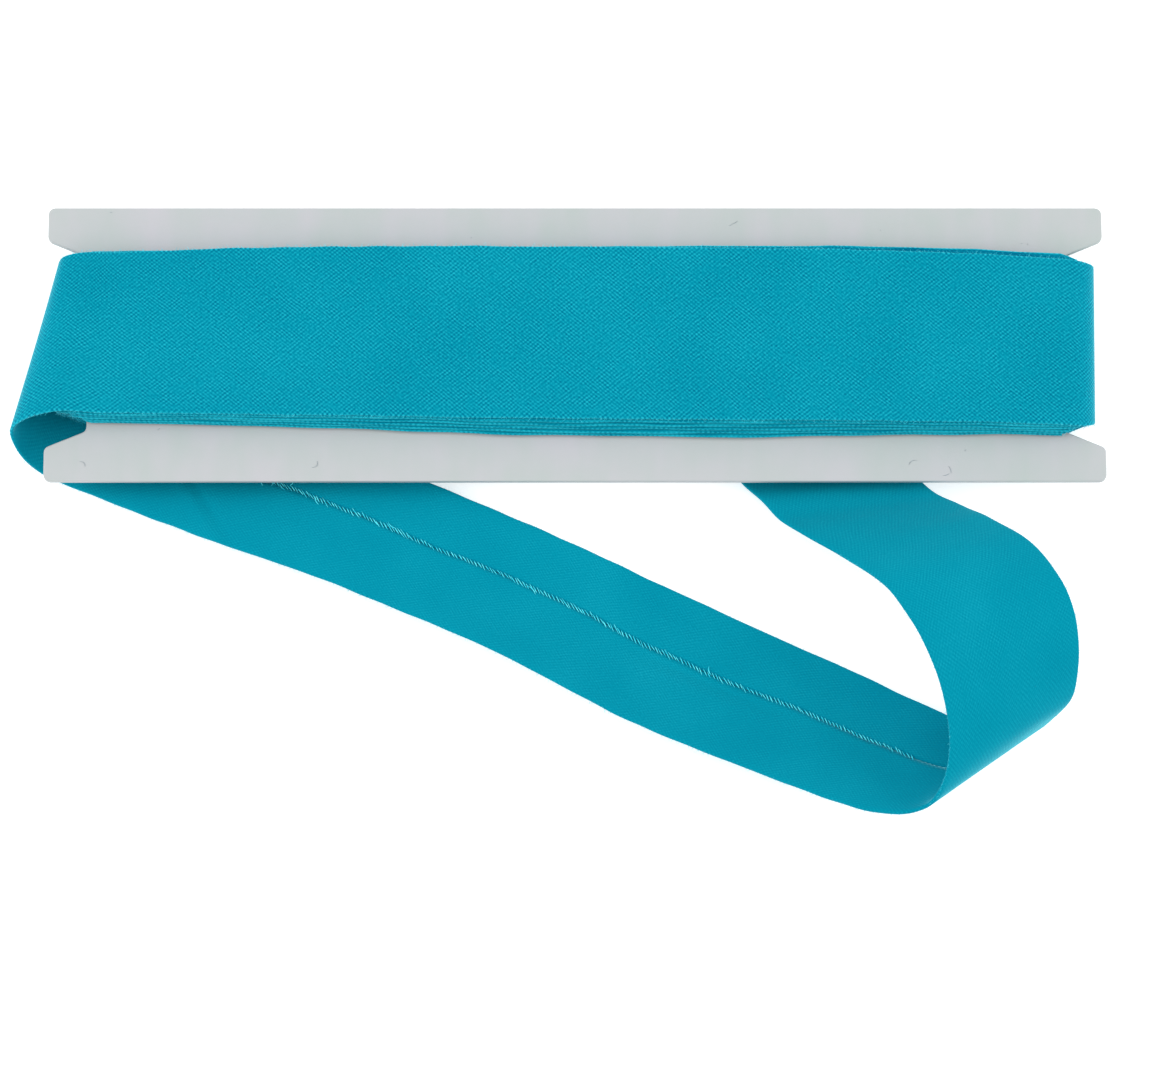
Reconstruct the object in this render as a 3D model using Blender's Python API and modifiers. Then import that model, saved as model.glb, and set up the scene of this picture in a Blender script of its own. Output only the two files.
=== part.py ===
"""Roll of bias binding: folded cotton tape wound lengthwise round the waist of a flat plastic card.

The roll lies on its back. The outermost turn has come loose at the left end of the card: it passes
under the roll, runs out over the table, curls over and comes back under the card.
Sizes and tables are in millimetres, X along the card, Y up the card's face, Z up from the table.
"""

import math
from collections import namedtuple

import bmesh
import bpy
import numpy as np

MM = 0.001
GAP = 0.3

# The card: a plate with a sloping notch in each end, so that its waist holds the tape
CARD_LENGTH = 126.0
CARD_WIDTH = 33.3
CARD_THICKNESS = 1.0
WAIST_LENGTH = 116.0
WAIST_WIDTH = 21.1
TIP_WIDTH = 25.2
CARD_CORNER_RADIUS = 0.8
CARD_CORNER_STEPS = 4
CARD_EDGE_ROUNDING = 0.15

# The wound turns, one above another on each face of the card
TURNS_DEPTH = 2.5
TURNS_RIGHT_END = 60.3
TURNS_LEFT_END_LOW = -61.7
TURNS_LEFT_END_UP = -60.2
TURNS_END_RADIUS = 2.6
TURNS_FACE_STEPS = 10
TURNS_END_STEPS = 5
SLOT_RADIUS = 0.4

# The loose outermost turn
TAPE_THICKNESS = 1.0
TAPE_STEP = 2.6
TAPE_CELLS_ACROSS = 6
RIGHT_END_ANGLES = (-45.0, -20.0, 5.0, 32.0, 60.0)
RIGHT_END_LOW = -10.1
RIGHT_END_UP = 9.9
END_SLACK = 0.1

# Folds sharper than these angles, in degrees, show as edges
CARD_EDGE_ANGLE = 30
TURNS_EDGE_ANGLE = 35
TAPE_EDGE_ANGLE = 60

# Heights that follow from the sizes above
ON_TABLE = TAPE_THICKNESS / 2
TURNS_BOTTOM = TAPE_THICKNESS + GAP
CARD_BOTTOM = TURNS_BOTTOM + TURNS_DEPTH + GAP
CARD_TOP = CARD_BOTTOM + CARD_THICKNESS
TURNS_TOP = CARD_TOP + GAP + TURNS_DEPTH
ON_ROLL = TURNS_TOP + GAP + TAPE_THICKNESS / 2

# Long edges of the wound turns along the card: they drift downwards to the right and draw in at the ends
WoundEdge = namedtuple("WoundEdge", "x low up")
WOUND_EDGES = (
    WoundEdge(-62.0, -9.3, 9.6),
    WoundEdge(-58.4, -9.6, 10.0),
    WoundEdge(-45.0, -9.9, 10.6),
    WoundEdge(-9.0, -11.1, 10.8),
    WoundEdge(50.0, -11.3, 10.6),
    WoundEdge(56.0, -11.1, 10.4),
    WoundEdge(58.4, -10.4, 10.1),
    WoundEdge(60.3, -10.0, 9.8),
)

# At both long edges the turns step back towards the outermost one: place across, share of the full depth
WoundRow = namedtuple("WoundRow", "across depth")
WOUND_ROWS = (
    WoundRow(0.0, 0.2),
    WoundRow(0.015, 0.45),
    WoundRow(0.035, 0.75),
    WoundRow(0.065, 1.0),
    WoundRow(0.25, 1.0),
    WoundRow(0.5, 1.0),
    WoundRow(0.75, 1.0),
    WoundRow(0.97, 1.0),
    WoundRow(0.985, 0.75),
    WoundRow(1.0, 0.4),
)

# The tape's lower and upper edge in turn, from the face of the roll to the hidden end
Section = namedtuple("Section", "place low_x low_y low_z up_x up_y up_z sag")
FACE = (
    Section("face, right end", 57.7, -10.3, ON_ROLL, 57.7, 10.2, ON_ROLL, 0.0),
    Section("face, right", 48.0, -10.2, ON_ROLL, 48.0, 10.6, ON_ROLL, 0.0),
    Section("face, middle", 0.0, -9.6, ON_ROLL, 0.0, 10.9, ON_ROLL, 0.0),
    Section("face, left", -45.0, -9.0, ON_ROLL, -45.0, 10.7, ON_ROLL, 0.0),
    Section("face, left end", -56.0, -8.7, ON_ROLL, -55.0, 10.4, ON_ROLL, 0.0),
)
LEFT_LOOP = (
    Section("loop, leaving the face", -60.3, -8.7, 8.8, -57.8, 10.3, 8.8, 0.0),
    Section("loop, top", -63.2, -9.1, 8.3, -60.2, 10.0, 8.0, 0.0),
    Section("loop, upper side", -65.5, -9.7, 6.9, -61.4, 9.7, 6.4, 0.0),
    Section("loop, furthest out", -66.5, -10.4, 5.1, -61.5, 9.2, 4.8, 0.0),
    Section("loop, lower side", -66.4, -11.6, 3.0, -61.3, 8.5, 3.0, 0.0),
    Section("loop, turning under", -65.5, -13.0, 1.5, -60.5, 7.3, 1.5, 0.0),
    Section("loop, near the table", -63.9, -14.4, 0.7, -59.1, 5.3, 0.7, 0.0),
    Section("under the card's corner", -61.3, -15.8, ON_TABLE, -57.2, 2.6, ON_TABLE, 0.0),
)
LOWER_STRIP = (
    Section("under the roll", -57.5, -17.4, ON_TABLE, -54.0, -0.6, ON_TABLE, 0.0),
    Section("lower edge out", -44.8, -22.4, 1.4, -38.5, -7.1, ON_TABLE, -0.6),
    Section("both edges out", -31.2, -27.4, 2.9, -24.5, -12.9, ON_TABLE, -0.6),
    Section("clear of the card", -19.6, -32.3, 4.2, -12.4, -18.1, ON_TABLE, -0.9),
    Section("strip, middle", -8.4, -37.3, 5.2, -0.6, -23.2, ON_TABLE, -1.0),
    Section("strip, bend", 5.2, -44.5, 6.2, 12.4, -29.3, 0.6, -1.0),
    Section("strip, rising", 16.1, -49.4, 7.0, 24.0, -34.7, 0.8, -0.8),
    Section("strip, before the curl", 25.0, -52.9, 7.8, 34.2, -39.4, 1.2, -0.5),
)
CURL = (
    Section("curl, first", 31.9, -55.4, 8.6, 42.6, -43.5, 1.9, -0.2),
    Section("curl, lowest edge", 37.0, -56.2, 9.7, 49.0, -46.2, 3.4, 0.0),
    Section("curl, rising", 40.6, -55.5, 11.1, 53.1, -46.6, 5.8, 0.0),
    Section("curl, outermost line", 42.4, -54.3, 12.8, 55.5, -45.3, 9.0, 0.0),
    Section("curl, upper side", 43.1, -52.0, 14.2, 56.8, -43.1, 12.0, 0.2),
    Section("curl, over the top", 43.2, -48.8, 15.1, 57.4, -40.4, 14.6, 0.4),
)
RETURN_STRIP = (
    Section("return, leaving the curl", 42.7, -44.6, 15.6, 57.6, -37.4, 16.4, 0.5),
    Section("return, highest", 41.4, -40.0, 15.7, 57.2, -34.2, 17.2, 0.6),
    Section("return, bending left", 39.2, -35.2, 15.1, 55.9, -30.6, 16.8, 0.6),
    Section("return, coming down", 36.0, -30.4, 13.4, 52.9, -26.2, 14.2, 0.5),
    Section("return, steepest", 31.8, -26.6, 10.2, 48.4, -22.2, 9.2, 0.2),
    Section("return, lower", 28.0, -23.4, 6.3, 45.1, -19.8, 4.4, -0.1),
    Section("crease at the card", 24.8, -20.5, 2.8, 42.4, -17.6, 1.5, -0.1),
    Section("under the card's edge", 22.2, -18.4, 1.1, 40.6, -15.5, 0.7, 0.0),
    Section("on the table again", 20.0, -16.0, ON_TABLE, 38.6, -13.0, ON_TABLE, 0.0),
    Section("under the roll's face", 16.5, -11.8, ON_TABLE, 33.5, -6.6, ON_TABLE, 0.0),
    Section("cut end", 12.5, -7.0, ON_TABLE, 25.0, 3.6, ON_TABLE, 0.0),
)


def clear_scene():
    for old in list(bpy.data.objects):
        bpy.data.objects.remove(old)


def new_collection(name):
    collection = bpy.data.collections.new(name)
    bpy.context.scene.collection.children.link(collection)
    return collection


def new_material(name, colour, roughness):
    material = bpy.data.materials.new(name)
    material.use_nodes = True
    shader = material.node_tree.nodes["Principled BSDF"]
    shader.inputs["Base Color"].default_value = (*colour, 1.0)
    shader.inputs["Roughness"].default_value = roughness
    shader.inputs["Metallic"].default_value = 0.0
    return material


def new_object(name, mesh, collection, material):
    obj = bpy.data.objects.new(name, mesh)
    collection.objects.link(obj)
    mesh.materials.append(material)
    return obj


def mesh_from(name, points, faces, smooth_angle):
    """A mesh from points in millimetres, smooth shaded up to an angle in degrees."""
    shape = bmesh.new()
    corners = [shape.verts.new([value * MM for value in point]) for point in points]
    for face in faces:
        shape.faces.new([corners[index] for index in face])
    bmesh.ops.recalc_face_normals(shape, faces=shape.faces)
    mesh = bpy.data.meshes.new(name)
    shape.to_mesh(mesh)
    shape.free()
    mesh.shade_smooth()
    mesh.set_sharp_from_angle(angle=math.radians(smooth_angle))
    return mesh


def corner_arc(before, corner, after, radius, steps):
    """Points of a round corner between two straight sides of a flat outline."""
    corner = np.array(corner)
    one = np.array(before) - corner
    other = np.array(after) - corner
    one = one / np.linalg.norm(one)
    other = other / np.linalg.norm(other)
    half_angle = math.acos(np.clip(one @ other, -1.0, 1.0)) / 2
    middle = (one + other) / np.linalg.norm(one + other)
    centre = corner + middle * radius / math.sin(half_angle)
    start = corner + one * radius / math.tan(half_angle) - centre
    end = corner + other * radius / math.tan(half_angle) - centre
    first = math.atan2(start[1], start[0])
    turn = math.remainder(math.atan2(end[1], end[0]) - first, math.tau)
    angles = [first + turn * step / steps for step in range(steps + 1)]
    return [(centre[0] + radius * math.cos(a), centre[1] + radius * math.sin(a)) for a in angles]


def card_outline():
    """Outline of the card, anticlockwise from its lower right corner."""
    quarter = (
        (CARD_LENGTH / 2, CARD_WIDTH / 2),
        (CARD_LENGTH / 2, TIP_WIDTH / 2),
        (WAIST_LENGTH / 2, WAIST_WIDTH / 2),
    )
    right = [(x, -y) for x, y in quarter] + [(x, y) for x, y in reversed(quarter)]
    left = [(-x, -y) for x, y in right]
    corners = right + left
    outline = []
    for index, corner in enumerate(corners):
        before = corners[index - 1]
        after = corners[(index + 1) % len(corners)]
        outline += corner_arc(before, corner, after, CARD_CORNER_RADIUS, CARD_CORNER_STEPS)
    return outline


def build_card(collection):
    outline = card_outline()
    points = [(x, y, CARD_BOTTOM + CARD_THICKNESS / 2) for x, y in outline]
    mesh = mesh_from("winding_card", points, [range(len(points))], CARD_EDGE_ANGLE)
    material = new_material("frosted polypropylene", (0.57, 0.6, 0.64), 0.45)
    card = new_object("winding_card", mesh, collection, material)
    plate = card.modifiers.new("plate", "SOLIDIFY")
    plate.thickness = CARD_THICKNESS * MM
    plate.offset = 0.0
    rounding = card.modifiers.new("moulded edge", "BEVEL")
    rounding.width = CARD_EDGE_ROUNDING * MM
    rounding.segments = 2
    rounding.limit_method = "ANGLE"
    rounding.angle_limit = math.radians(CARD_EDGE_ANGLE)
    return card


def rounded_section(left, right, bottom, top, radius):
    """Round-cornered rectangle across the roll, as (x, z) points with as many on each side."""
    corners = ((right, top), (left, top), (left, bottom), (right, bottom))
    points = []
    for index, (x, z) in enumerate(corners):
        before = corners[index - 1]
        after = corners[(index + 1) % 4]
        arc = corner_arc(before, (x, z), after, radius, TURNS_END_STEPS)
        points += arc
        if index % 2 == 0:
            reach = (after[0] - x) - math.copysign(2 * radius, after[0] - x)
            stride = reach / TURNS_FACE_STEPS
            points += [(arc[-1][0] + stride * step, z) for step in range(1, TURNS_FACE_STEPS)]
    return np.array(points)


def wound_edge(x):
    """The lower and upper edge of the wound turns at x."""
    places = [row.x for row in WOUND_EDGES]
    low = np.interp(x, places, [row.low for row in WOUND_EDGES])
    up = np.interp(x, places, [row.up for row in WOUND_EDGES])
    return low, up


def wound_ring(row, inner):
    """One closed ring of points round the roll: its outer face, or the slot that holds the card."""
    slot_end = WAIST_LENGTH / 2 + GAP
    slot = rounded_section(-slot_end, slot_end, CARD_BOTTOM - GAP, CARD_TOP + GAP, SLOT_RADIUS)
    ring = slot
    if not inner:
        left = TURNS_LEFT_END_LOW + (TURNS_LEFT_END_UP - TURNS_LEFT_END_LOW) * row.across
        outer = rounded_section(left, TURNS_RIGHT_END, TURNS_BOTTOM, TURNS_TOP, TURNS_END_RADIUS)
        ring = slot + (outer - slot) * row.depth
    points = []
    for x, z in ring:
        low, up = wound_edge(x)
        points.append((x, low + (up - low) * row.across, z))
    return points


def build_wound_turns(collection):
    """The roll as one ring of tape, lofted across its width, with the card's slot through it."""
    rows = [wound_ring(row, inner=False) for row in WOUND_ROWS]
    rows += [wound_ring(row, inner=True) for row in (WOUND_ROWS[-1], WOUND_ROWS[0])]
    around = len(rows[0])
    points = [point for row in rows for point in row]
    faces = []
    for row in range(len(rows)):
        for step in range(around):
            here = row * around
            there = (row + 1) % len(rows) * around
            after = (step + 1) % around
            faces.append((here + step, here + after, there + after, there + step))
    mesh = mesh_from("wound_binding", points, faces, TURNS_EDGE_ANGLE)
    material = new_material("turquoise cotton, wound", (0.003, 0.29, 0.43), 0.85)
    return new_object("wound_binding", mesh, collection, material)


def right_end_sections():
    """The tape coming up round the right end of the roll, outside the wound turns."""
    radius = TURNS_END_RADIUS + GAP + END_SLACK + TAPE_THICKNESS / 2
    centre_x = TURNS_RIGHT_END - TURNS_END_RADIUS
    sections = []
    for degrees in RIGHT_END_ANGLES:
        angle = math.radians(degrees)
        level = TURNS_BOTTOM if degrees < 0 else TURNS_TOP
        centre_z = level + math.copysign(TURNS_END_RADIUS, -degrees if degrees else -1.0)
        x = centre_x + radius * math.cos(angle)
        z = centre_z + radius * math.sin(angle)
        sections.append(Section("right end", x, RIGHT_END_LOW, z, x, RIGHT_END_UP, z, 0.0))
    return sections


def between(rows, knots, index, place):
    """Value of a smooth curve through rows of numbers, between row index and the next."""
    picks = [max(index - 1, 0), index, index + 1, min(index + 2, len(rows) - 1)]
    p0, p1, p2, p3 = (rows[pick] for pick in picks)
    k0, k1, k2, k3 = (knots[pick] for pick in picks)
    span = k2 - k1
    slope1 = (p2 - p0) / (k2 - k0)
    slope2 = (p3 - p1) / (k3 - k1)
    u = place
    return (
        (2 * u**3 - 3 * u**2 + 1) * p1
        + (u**3 - 2 * u**2 + u) * span * slope1
        + (3 * u**2 - 2 * u**3) * p2
        + (u**3 - u**2) * span * slope2
    )


def tape_sections():
    """Sections of the tape, close enough together for a smooth surface."""
    sections = right_end_sections() + list(FACE + LEFT_LOOP + LOWER_STRIP + CURL + RETURN_STRIP)
    rows = [np.array(section[1:]) for section in sections]
    lengths = []
    for one, other in zip(rows, rows[1:]):
        low = np.linalg.norm(other[0:3] - one[0:3])
        up = np.linalg.norm(other[3:6] - one[3:6])
        lengths.append((low + up) / 2)
    knots = np.concatenate(([0.0], np.cumsum(lengths)))
    smooth = []
    for index, length in enumerate(lengths):
        steps = max(2, math.ceil(length / TAPE_STEP))
        smooth += [between(rows, knots, index, step / steps) for step in range(steps)]
    return smooth + [rows[-1]]


def build_loose_tape(collection):
    """The outermost turn: one open surface lofted through its sections and given its thickness."""
    points = []
    for row in tape_sections():
        low, up, sag = row[0:3], row[3:6], row[6]
        for cell in range(TAPE_CELLS_ACROSS + 1):
            across = cell / TAPE_CELLS_ACROSS
            x, y, z = low + (up - low) * across
            z += 4 * sag * across * (1 - across)
            points.append((x, y, max(z, ON_TABLE)))
    width = TAPE_CELLS_ACROSS + 1
    faces = []
    for row in range(len(points) // width - 1):
        for cell in range(TAPE_CELLS_ACROSS):
            corner = row * width + cell
            faces.append((corner, corner + 1, corner + 1 + width, corner + width))
    mesh = mesh_from("loose_tape", points, faces, TAPE_EDGE_ANGLE)
    material = new_material("turquoise cotton, loose", (0.003, 0.31, 0.45), 0.85)
    tape = new_object("loose_tape", mesh, collection, material)
    cloth = tape.modifiers.new("folded cloth", "SOLIDIFY")
    cloth.thickness = TAPE_THICKNESS * MM
    cloth.offset = 0.0
    cloth.use_even_offset = True
    return tape


def stand_at_origin(pieces):
    """Puts the middle of the whole thing over the origin, with its lowest point on the table."""
    bpy.context.view_layer.update()
    graph = bpy.context.evaluated_depsgraph_get()
    corners = []
    for piece in pieces:
        shape = piece.evaluated_get(graph).to_mesh()
        corners += [tuple(piece.matrix_world @ vertex.co) for vertex in shape.vertices]
    low = np.min(corners, axis=0)
    high = np.max(corners, axis=0)
    shift = (-(low[0] + high[0]) / 2, -(low[1] + high[1]) / 2, -low[2])
    for piece in pieces:
        piece.location = shift


def main():
    clear_scene()
    collection = new_collection("roll of bias binding")
    pieces = [build_card(collection), build_wound_turns(collection), build_loose_tape(collection)]
    stand_at_origin(pieces)


main()
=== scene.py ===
"""Looks of a roll of bias binding: folded cotton tape wound round the waist of a flat plastic card.

The roll lies on its back with its outermost turn hanging loose in a curled loop. Tables and sizes are
in millimetres from the middle of the card, X along it, Y up its face, and Z up from the table.
"""

import math
from collections import namedtuple

import bpy
import numpy as np
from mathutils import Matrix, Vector


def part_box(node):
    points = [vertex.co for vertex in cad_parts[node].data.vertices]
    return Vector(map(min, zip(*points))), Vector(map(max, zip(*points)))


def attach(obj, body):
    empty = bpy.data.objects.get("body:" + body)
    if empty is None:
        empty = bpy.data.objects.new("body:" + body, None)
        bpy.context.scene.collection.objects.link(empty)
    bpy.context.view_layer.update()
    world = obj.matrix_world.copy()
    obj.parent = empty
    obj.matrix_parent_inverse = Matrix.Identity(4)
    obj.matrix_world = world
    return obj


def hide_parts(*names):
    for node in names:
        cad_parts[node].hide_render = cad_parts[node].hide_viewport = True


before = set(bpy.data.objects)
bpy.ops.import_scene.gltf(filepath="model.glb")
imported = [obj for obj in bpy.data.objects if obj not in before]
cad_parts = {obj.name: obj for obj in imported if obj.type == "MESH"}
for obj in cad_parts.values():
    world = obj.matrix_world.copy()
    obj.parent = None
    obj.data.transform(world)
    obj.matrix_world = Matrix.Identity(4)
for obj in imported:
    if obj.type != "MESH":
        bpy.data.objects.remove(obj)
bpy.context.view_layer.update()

MM = 0.001

# The card's faces, and the place of its middle in the frame
CARD_BOTTOM = 4.1
CARD_TOP = 5.1
card_low, card_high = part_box("winding_card")
ORIGIN = np.array((
    (card_low.x + card_high.x) / 2,
    (card_low.y + card_high.y) / 2,
    card_low.z - CARD_BOTTOM * MM,
))

# The binding: a bias strip cut 40 mm wide, its raw edges pressed in to meet on the wrong side, at a
# share of its width that drifts along the tape and waves a little
CUT_WIDTH = 40.0
FOLDED_WIDTH = CUT_WIDTH / 2
PLY = 0.2
FOLD_RADIUS = 0.13
FOLDED = PLY + 2 * FOLD_RADIUS
SEAM_SHARE = 0.56
SEAM_GAP = 0.11
SEAM_DRIFT_PLACES = (140.0, 158.0, 180.0, 205.0, 240.0)
SEAM_DRIFT = (-0.02, -0.022, -0.006, 0.0, -0.005)
SEAM_WAVES = ((0.006, 5.3, 0.0), (0.004, 2.1, 1.0))
ON_TABLE = FOLDED / 2 + 0.01

# The wound turns: heights of the layers on the card's face and, slacker, on its back, where they
# start to bend round either end of the card, and how far out the first and the last of them reach
TURNS = 5
FIRST_LAYER = 0.57
FACE_PITCH = 0.54
BACK_PITCH = 0.66
TURNS_RIGHT = 57.7
TURNS_LEFT = -57.5
RIGHT_REACH = (58.5, 61.55)
RIGHT_FLARE = 0.2
LEFT_REACH_LOW = (-58.6, -61.5)
LEFT_REACH_UP = (-58.4, -60.0)
ON_ROLL = CARD_TOP + FIRST_LAYER + FACE_PITCH * TURNS
UNDER_ROLL = CARD_BOTTOM - FIRST_LAYER - BACK_PITCH * (TURNS - 1)

# How far the ends of the card draw in a turn's lower and upper edge, and tuck in the lower one
LEFT_DRAW = (0.5, 0.9)
LEFT_TUCK = 0.9
RIGHT_DRAW = (0.15, 0.75)
LOOSE_DRAW = (0.0, 0.5)
RIGHT_TUCK = 1.8

# How far the edges wander, over which lengths, shortest and longest, and how unevenly
WOUND_LOW_WANDER = (0.07, 9.0, 60.0)
WOUND_UP_WANDER = (0.05, 9.0, 60.0)
LOOSE_WANDER = (0.04, 5.0, 24.0)
UNEVEN = (0.8, 1.25)

# How far the innermost turn's lower edge, and the fifth turn's upper edge, lie outside the outermost
# turn's, and each turn's share of that
EDGE_PLACES = (-57.0, -32.0, -6.0, 20.0, 42.0, 57.0)
LOWEST_STEP = (0.64, 0.97, 1.47, 1.57, 1.06, 0.70)
HIGHEST_STEP = (0.22, 0.0, 0.08, 0.40, 0.72, 0.80)
TurnEdges = namedtuple("TurnEdges", "low_share up_share up_step")
TURN_EDGES = (
    TurnEdges(1.00, 0.2, -0.35),
    TurnEdges(0.82, 0.1, -0.20),
    TurnEdges(0.60, 0.4, -0.30),
    TurnEdges(0.41, 0.3, -0.15),
    TurnEdges(0.20, 1.0, 0.0),
    TurnEdges(0.0, 0.0, 0.0),
)

# The loose turn, from the face of the roll to the hidden end. A section gives the lower and the upper
# edge, and how far the middle bows up between them. The heights are those of a tape 1 mm thick, and
# SETTLE lets the real, thinner one down onto what carries it.
SETTLE = 0.26
Section = namedtuple("Section", "place low_x low_y low_z up_x up_y up_z sag")
FACE = (
    Section("face, right end", 57.7, -10.42, ON_ROLL, 57.7, 9.5, ON_ROLL, 0.0),
    Section("face, right", 48.0, -10.07, ON_ROLL, 48.0, 10.14, ON_ROLL, 0.0),
    Section("face, right of the middle", 30.0, -9.88, ON_ROLL, 30.0, 10.7, ON_ROLL, 0.0),
    Section("face, middle", 0.0, -9.66, ON_ROLL, 0.0, 11.03, ON_ROLL, 0.0),
    Section("face, left of the middle", -27.0, -9.3, ON_ROLL, -27.0, 11.05, ON_ROLL, 0.0),
    Section("face, left", -45.0, -9.05, ON_ROLL, -45.0, 10.69, ON_ROLL, 0.0),
    Section("face, left end", -56.0, -8.95, ON_ROLL, -55.0, 10.3, ON_ROLL, 0.0),
)
LEFT_LOOP = (
    Section("loop, leaving the face", -60.5, -8.8, 8.8, -57.8, 10.3, 8.8, 0.0),
    Section("loop, top", -63.5, -9.1, 8.3, -60.4, 10.05, 8.0, 0.0),
    Section("loop, upper side", -65.8, -9.7, 6.9, -61.3, 9.75, 6.4, 0.0),
    Section("loop, furthest out", -66.9, -10.5, 5.1, -61.4, 9.3, 4.8, 0.0),
    Section("loop, lower side", -66.7, -11.7, 3.0, -61.3, 8.6, 3.0, 0.0),
    Section("loop, turning under", -65.8, -13.1, 1.5, -60.8, 7.3, 1.5, 0.0),
    Section("loop, near the table", -64.1, -14.5, 0.7, -59.2, 5.3, 0.7, 0.0),
    Section("under the card's corner", -61.3, -15.9, 0.5, -57.2, 2.6, 0.5, 0.0),
)
LOWER_STRIP = (
    Section("under the roll", -57.5, -17.55, 1.3, -54.0, -0.6, 0.5, -0.2),
    Section("lower edge out", -44.8, -22.6, 2.5, -38.5, -7.1, 0.5, -0.3),
    Section("both edges out", -31.2, -27.6, 3.9, -24.5, -13.0, 1.2, -0.2),
    Section("clear of the card", -19.6, -32.4, 4.9, -12.4, -18.35, 1.9, -0.5),
    Section("strip, middle", -8.4, -37.45, 5.6, -0.6, -23.4, 1.5, -0.8),
    Section("strip, bend", 5.2, -44.7, 6.4, 12.4, -29.5, 1.1, -0.9),
    Section("strip, rising", 16.1, -49.45, 7.0, 24.0, -34.8, 0.8, -0.8),
    Section("strip, before the curl", 25.0, -52.95, 7.8, 34.2, -39.5, 1.2, -0.5),
)
CURL = (
    Section("curl, first", 31.9, -55.55, 8.6, 42.6, -43.6, 1.9, -0.2),
    Section("curl, lowest edge", 37.0, -56.65, 9.7, 49.2, -46.4, 3.4, 0.0),
    Section("curl, rising", 40.6, -56.0, 11.1, 53.3, -46.6, 5.8, 0.0),
    Section("curl, outermost line", 42.2, -54.2, 12.8, 55.75, -45.2, 9.0, 0.0),
    Section("curl, upper side", 42.95, -51.9, 14.2, 57.5, -43.4, 12.0, 0.2),
    Section("curl, over the top", 43.2, -48.8, 15.1, 58.0, -40.6, 14.6, 0.4),
)
RETURN_STRIP = (
    Section("return, leaving the curl", 42.7, -44.6, 15.6, 57.95, -37.35, 16.4, 0.5),
    Section("return, highest", 41.4, -40.0, 15.7, 57.4, -34.0, 17.2, 0.6),
    Section("return, bending left", 39.2, -35.2, 15.1, 56.0, -30.3, 16.8, 0.6),
    Section("return, coming down", 36.0, -30.35, 13.1, 53.15, -25.65, 13.5, 0.5),
    Section("return, steepest", 31.85, -26.7, 9.8, 48.5, -21.7, 9.0, 0.3),
    Section("return, lower", 27.0, -23.2, 6.5, 45.2, -19.5, 5.7, 0.1),
    Section("crease at the card", 24.3, -21.0, 4.3, 42.5, -17.7, 3.8, 0.0),
    Section("under the card's edge", 22.3, -18.6, 2.9, 40.6, -15.75, 2.5, 0.0),
    Section("on the table again", 20.0, -16.1, 1.4, 38.6, -13.1, 1.2, 0.0),
    Section("under the roll's face", 16.5, -11.8, 0.5, 33.5, -6.6, 0.5, 0.0),
    Section("cut end", 12.5, -7.0, 0.5, 25.0, 3.6, 0.5, 0.0),
)
LOOSE = LEFT_LOOP + LOWER_STRIP + CURL + RETURN_STRIP

# Creases of the loose turn: place along it, share across, half length as a share, slant, half width
# and height, below zero for a trough
Crease = namedtuple("Crease", "along share reach slant width depth")
CREASES = (
    Crease(163.8, 0.20, 0.20, -22.5, 1.5, 0.16),
    Crease(165.4, 0.20, 0.20, -22.5, 0.9, -0.30),
    Crease(200.0, 0.10, 0.20, 4.0, 2.4, 0.20),
    Crease(228.0, 0.49, 0.05, 0.0, 9.0, -0.45),
)

# Steps of the meshes along the tape, columns across a flap, a fold and the outer ply, and how near
# the places are that give the cloth's slope
LOOSE_STEP = 0.65
WOUND_STEP = 2.5
END_STEPS = 10
LOOSE_COLUMNS = (14, 5, 26)
WOUND_COLUMNS = (5, 5, 9)
NEARBY = 0.2

# Loose strands: sides and steps of each, the lowest that one lies, how thin its tips are, and a
# direction that no strand runs in
STRAND_SIDES = 4
STRAND_STEPS = 5
STRAND_REST = 0.06
STRAND_TIP = 0.4
OFF_STRAND = (0.31, 0.17, 0.93)

# The seam's thread ends: where they show, how far apart, their least and greatest length, slant in
# degrees and radius, how far they lie off the seam's line, and how many are longer, and by how much
SEAM_FROM = 166.0
SEAM_TO = 254.0
SEAM_SPACING = (0.42, 0.56)
THREAD_LENGTH = (0.8, 1.15)
THREAD_SLANT = (33.0, 47.0)
THREAD_RADIUS = (0.05, 0.075)
THREAD_OFF_LINE = 0.07
LONGER_SHARE = 0.08
LONGER_BY = 0.5

# Height of a thread's ends over the cloth, and how much higher its middle may stand
THREAD_LIFT = (0.05, 0.08)
FRAY_LIFT = (0.08, 0.25)

# Wisps that stray from the seam, drawn thicker than real: place along the tape, how far they lie off
# the seam, length, slant in radians and curl
FRAY_RADIUS = 0.07
Fray = namedtuple("Fray", "along off length lean curl")
FRAYS = (
    Fray(169.9, -0.4, 1.6, 1.0, 0.10),
    Fray(171.7, 0.3, 1.8, -0.9, -0.30),
    Fray(172.5, -0.3, 1.2, 0.7, 0.15),
    Fray(173.6, 0.9, 1.5, -1.2, -0.12),
    Fray(177.0, -0.4, 1.3, 0.9, 0.20),
    Fray(186.5, 0.3, 1.3, 0.3, 0.25),
    Fray(205.0, -0.2, 1.5, 0.5, -0.2),
    Fray(228.0, 0.3, 1.2, 0.9, 0.2),
)

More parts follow.
